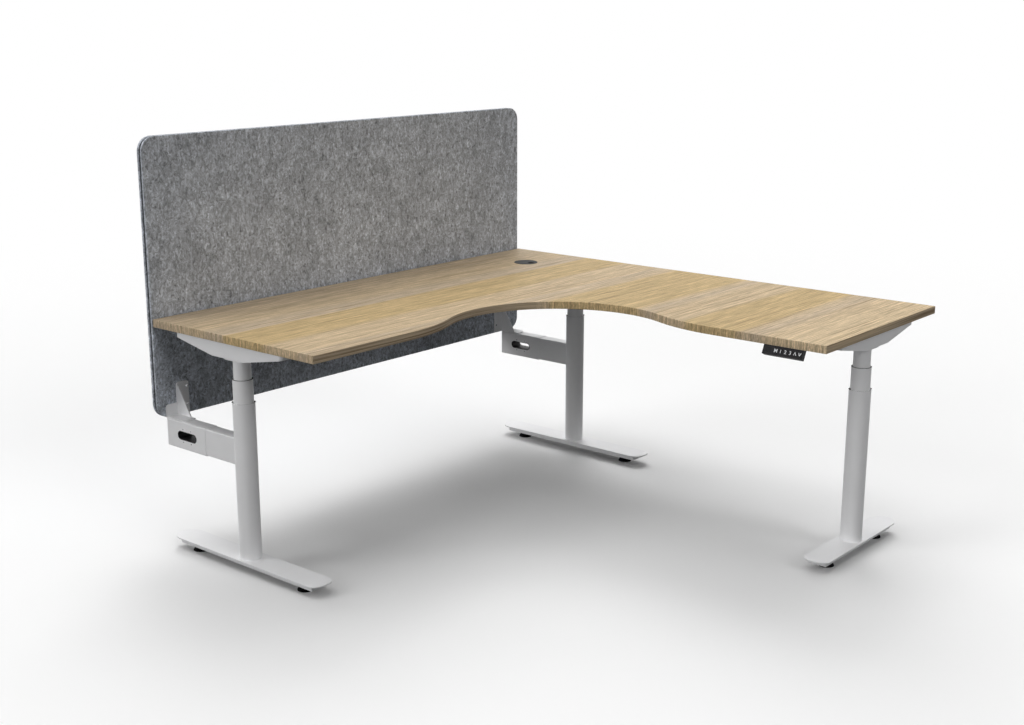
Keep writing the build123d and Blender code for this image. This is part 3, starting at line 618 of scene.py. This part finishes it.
def build_band(grid):
    """Closed strip round the board, rounded at its two outer edges."""
    low, high = board_low.z + BAND, board_high.z - BAND
    turns = [QUARTER_TURN * step / BAND_STEPS for step in range(BAND_STEPS + 1)]
    profile = [(BAND - BAND * math.sin(turn), low - BAND * math.cos(turn)) for turn in turns]
    profile += [(BAND - BAND * math.cos(turn), high + BAND * math.sin(turn)) for turn in turns]
    wrap(grid, [ring(grid, worktop_outline(inset), height) for inset, height in profile])


def build_board(grid):
    """Board inside the band, with the round hole of the grommet and backing paper below."""
    hole_low, hole_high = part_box("grommet_liner")
    outline = worktop_outline(BAND)
    hole = circle_points((hole_low + hole_high) / 2, GROMMET_HOLE / 2)
    layers = []
    for height in (board_low.z, board_high.z):
        layer = [ring(grid, outline, height), ring(grid, hole, height)]
        edges = []
        for loop in layer:
            edges += [grid.edges.new(pair) for pair in zip(loop, loop[1:] + loop[:1])]
        bmesh.ops.triangle_fill(grid, use_beauty=True, use_dissolve=False, edges=edges)
        layers.append(layer)
    middle = (board_low.z + board_high.z) / 2
    for face in grid.faces:
        face.material_index = 1 if face.calc_center_median().z < middle else 0
    for lower, upper in zip(*layers):
        bridge(grid, lower, upper)


board = mesh_from("worktop_board", build_board, OAK_TOP, BACKING)
finish_piece(board, "desk", "oak_laminate", "worktop")
band = mesh_from("worktop_band", build_band, OAK_EDGE)
band.data.shade_smooth()
band.data.set_sharp_from_angle(angle=BAND_CREASE)
finish_piece(band, "desk", "oak_laminate", "worktop")


# Handset signs and window

KEY_PROUD = 0.3 * MM
PRINT_HEIGHT = 0.08 * MM
SIGN_HEIGHT = 12.0 * MM

# Height of a capital letter as a share of the font's size, and how much its strokes are widened
LETTER_SHARE = 0.73
LETTER_SPREAD = 0.1 * MM
LETTER_STEPS = 6

ARROW_HALF_WIDTH = 4.0 * MM
ARROW_HALF_HEIGHT = 4.8 * MM
ARROW_STROKE = 2.1 * MM
ARROW_WAYS = {"up": 1, "down": -1}

WINDOW_WIDTH = 21.6 * MM
WINDOW_HEIGHT = 17.6 * MM
WINDOW_CORNER = 1.3 * MM
WINDOW_DEPTH = 0.5 * MM
WINDOW_SUNK = 0.05 * MM
WINDOW_INSET = 19.0 * MM

# The face of the handset leans back by the tilt over the height of the drop
HANDSET_TILT = 13.0 * MM
HANDSET_DROP = 26.0 * MM

case_low, case_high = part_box("handset_case")
face_lean = math.atan2(HANDSET_TILT, HANDSET_DROP)
face_normal = Vector((-math.cos(face_lean), 0, math.sin(face_lean)))
face_right = Vector((0, -1, 0))
face_up = face_normal.cross(face_right)
face_middle = Vector((case_low.x + HANDSET_TILT / 2, 0, case_high.z - HANDSET_DROP / 2))


def face_matrix(y, proud):
    """Frame on the handset's face: X toward the front, Y up the face, Z outward."""
    origin = Vector((face_middle.x, y, face_middle.z)) + face_normal * proud
    turn = Matrix((face_right, face_up, face_normal)).transposed().to_4x4()
    return Matrix.Translation(origin) @ turn


def text_sign(name, text):
    """Plain printed sign with the built-in letters, as a thin mesh about its own middle."""
    curve = bpy.data.curves.new(name, "FONT")
    curve.body = text
    curve.size = SIGN_HEIGHT / LETTER_SHARE
    curve.align_x = "CENTER"
    curve.extrude = PRINT_HEIGHT / 2
    curve.offset = LETTER_SPREAD
    curve.resolution_u = LETTER_STEPS
    holder = bpy.data.objects.new(name + "_curve", curve)
    bpy.context.collection.objects.link(holder)
    bpy.context.view_layer.update()
    mesh = bpy.data.meshes.new_from_object(holder)
    bpy.data.objects.remove(holder)
    sides = [vert.co.x for vert in mesh.vertices]
    heights = [vert.co.y for vert in mesh.vertices]
    centre = (max(sides) + min(sides)) / 2
    middle = (max(heights) + min(heights)) / 2
    for vert in mesh.vertices:
        vert.co.x -= centre
        vert.co.y -= middle
    mesh.name = name
    return link_object(name, mesh, INK)


def chevron_sign(name, way):
    """Arrow head that points up or down, as a thin mesh."""
    side, top, half = ARROW_HALF_WIDTH, ARROW_HALF_HEIGHT, ARROW_STROKE / 2
    outline = [
        Vector((-side - half, -top * way)),
        Vector((-side + half, -top * way)),
        Vector((0, (top - ARROW_STROKE) * way)),
        Vector((side - half, -top * way)),
        Vector((side + half, -top * way)),
        Vector((half, top * way)),
        Vector((-half, top * way)),
    ]

    def build(grid):
        layers = [ring(grid, outline, height) for height in (-PRINT_HEIGHT / 2, PRINT_HEIGHT / 2)]
        for layer in layers:
            grid.faces.new((layer[0], layer[1], layer[2], layer[6]))
            grid.faces.new((layer[2], layer[3], layer[4], layer[5]))
            grid.faces.new((layer[2], layer[5], layer[6]))
        bridge(grid, *layers)

    return mesh_from(name, build, INK)


def build_window(grid):
    """Thin pane with rounded corners in the shallow pocket beside the keys."""
    across, up = WINDOW_WIDTH / 2 - WINDOW_CORNER, WINDOW_HEIGHT / 2 - WINDOW_CORNER
    outline = []
    for side, top, start in ((1, 1, 0.0), (-1, 1, 0.5), (-1, -1, 1.0), (1, -1, 1.5)):
        corner = (side * across, top * up)
        outline += arc_points(corner, WINDOW_CORNER, math.pi * start, math.pi * (start + 0.5))
    layers = [ring(grid, outline, height) for height in (-WINDOW_DEPTH / 2, WINDOW_DEPTH / 2)]
    bridge(grid, *layers)
    for layer in layers:
        grid.faces.new(layer)


pane = mesh_from("display_pane", build_window, WINDOW)
pane.matrix_world = face_matrix(case_high.y - WINDOW_INSET, -WINDOW_DEPTH / 2 - WINDOW_SUNK)
finish_piece(pane, "desk", "black_plastic")

for key, sign in KEY_SIGNS.items():
    if sign in ARROW_WAYS:
        piece = chevron_sign(f"sign_{key}", ARROW_WAYS[sign])
    else:
        piece = text_sign(f"sign_{key}", sign)
    low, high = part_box(f"key_{key}")
    piece.matrix_world = face_matrix((low.y + high.y) / 2, KEY_PROUD + PRINT_HEIGHT / 2)
    finish_piece(piece, f"button_{key}", "key_plastic")


# Thin dark rings on the rims of the middle tubes

RIM_INNER = 27.9 * MM
RIM_OUTER = 31.9 * MM
RIM_HEIGHT = 0.5 * MM


def rim_builder(tube):
    """Building function of the flat ring on top of one middle tube."""
    low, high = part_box(tube)
    centre = (low + high) / 2
    top = high.z + RIM_HEIGHT

    def build(grid):
        outer, inner = circle_points(centre, RIM_OUTER), circle_points(centre, RIM_INNER)
        sides = ((outer, high.z), (outer, top), (inner, top), (inner, high.z))
        wrap(grid, [ring(grid, outline, height) for outline, height in sides])

    return build


for name in LEG_NAMES:
    rim = mesh_from(f"middle_rim_{name}", rim_builder(f"middle_tube_{name}"), HOUSING)
    finish_piece(rim, f"middle_stage_{name}", "black_plastic")


# Camera of the photograph

# Yaw, pitch and roll in radians, lens and sensor in millimetres
CAMERA_PLACE = (-3.4778, -2.7774, 1.7044)
CAMERA_YAW = 0.86967
CAMERA_PITCH = 0.24521
CAMERA_ROLL = -0.0006
CAMERA_LENS = 49.29
CAMERA_SENSOR = 36.0
CAMERA_REACH = 100.0

camera_data = bpy.data.cameras.new("camera")
camera_data.sensor_width = CAMERA_SENSOR
camera_data.lens = CAMERA_LENS
camera_data.clip_end = CAMERA_REACH
camera = bpy.data.objects.new("camera", camera_data)
bpy.context.collection.objects.link(camera)
bpy.context.scene.camera = camera
camera.location = CAMERA_PLACE
turn = Matrix.Rotation(-CAMERA_YAW, 3, "Z") @ Matrix.Rotation(QUARTER_TURN - CAMERA_PITCH, 3, "X")
camera.rotation_euler = (turn @ Matrix.Rotation(-CAMERA_ROLL, 3, "Z")).to_euler()


# Floor and light

FLOOR_SIZE = 60.0

# Distances from the object over which the floor turns into a pure white glow
FADE_START = 2.5
FADE_END = 7.0

# Tone that the floor has for the light that it throws back at the object
FLOOR_BOUNCE = display(86, 86, 86)


def build_floor(grid):
    """Square sheet at the level of the pads, with the object in its middle."""
    half = FLOOR_SIZE / 2
    corners = ((-half, -half), (half, -half), (half, half), (-half, half))
    grid.faces.new([grid.verts.new((x, y, 0)) for x, y in corners])


def floor_material():
    """White floor wherever it is seen, glowing pure white far away, and a darker one for bounced light."""
    white = Recipe("floor_white")
    distance = white.add("ShaderNodeVectorMath", operation="LENGTH")
    white.put(distance.inputs[0], white.place)
    far = white.range(distance.outputs["Value"], FADE_START, FADE_END, smooth=True)
    seen = white.seen()
    white.set(Base_Color=white.mix(seen, FLOOR_BOUNCE, WHITE))
    white.set(Roughness=1.0, Specular_IOR_Level=0.0)
    glow = white.add("ShaderNodeEmission")
    white.put(glow.inputs["Color"], WHITE)
    share = white.math("MULTIPLY", far, seen)
    surface = white.blend(share, white.shader.outputs["BSDF"], glow.outputs["Emission"])
    white.put(white.tree.nodes["Material Output"].inputs["Surface"], surface)
    return white.material


def white_sky():
    """World that is white wherever it is seen and gives no light of its own."""
    world = bpy.data.worlds.new("studio")
    world.use_nodes = True
    sky = Nodes(world.node_tree)
    unlit, lit = sky.tree.nodes["Background"], sky.add("ShaderNodeBackground")
    for background, strength in ((unlit, 0.0), (lit, 1.0)):
        sky.put(background.inputs["Color"], WHITE)
        sky.put(background.inputs["Strength"], strength)
    surface = sky.blend(sky.seen(), unlit.outputs["Background"], lit.outputs["Background"])
    sky.put(sky.tree.nodes["World Output"].inputs["Surface"], surface)
    return world


floor = mesh_from("floor", build_floor, floor_material())
floor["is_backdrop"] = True
bpy.context.scene.world = white_sky()

# Soft lamps round the object: azimuth from +X toward +Y and height above the floor in degrees, and strength
LAMP_SPREAD = math.radians(30.0)
LAMPS = (
    (44, 45, 0.82),
    (44, 20, 0.15),
    (22, 60, 0.43),
    (0, 75, 0.2),
    (0, 30, 0.13),
    (90, 75, 0.32),
    (88, 15, 0.64),
    (130, 60, 0.26),
    (154, 30, 0.54),
    (154, 9, 0.3),
    (190, 9, 0.52),
    (225, 75, 0.33),
    (264, 30, 0.59),
    (315, 55, 0.1),
    (318, 10, 0.08),
)


def add_lamp(name, azimuth, height, strength):
    """Distant soft lamp that shines from one direction."""
    data = bpy.data.lights.new(name, "SUN")
    data.energy = strength
    data.angle = LAMP_SPREAD
    lamp = bpy.data.objects.new(name, data)
    bpy.context.collection.objects.link(lamp)
    around, rise = math.radians(azimuth), math.radians(height)
    level = math.cos(rise)
    source = Vector((level * math.cos(around), level * math.sin(around), math.sin(rise)))
    lamp.rotation_euler = source.to_track_quat("Z", "Y").to_euler()


for number, lamp_values in enumerate(LAMPS):
    add_lamp(f"lamp_{number}", *lamp_values)

bpy.context.scene.view_settings.view_transform = "Standard"

low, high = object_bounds()
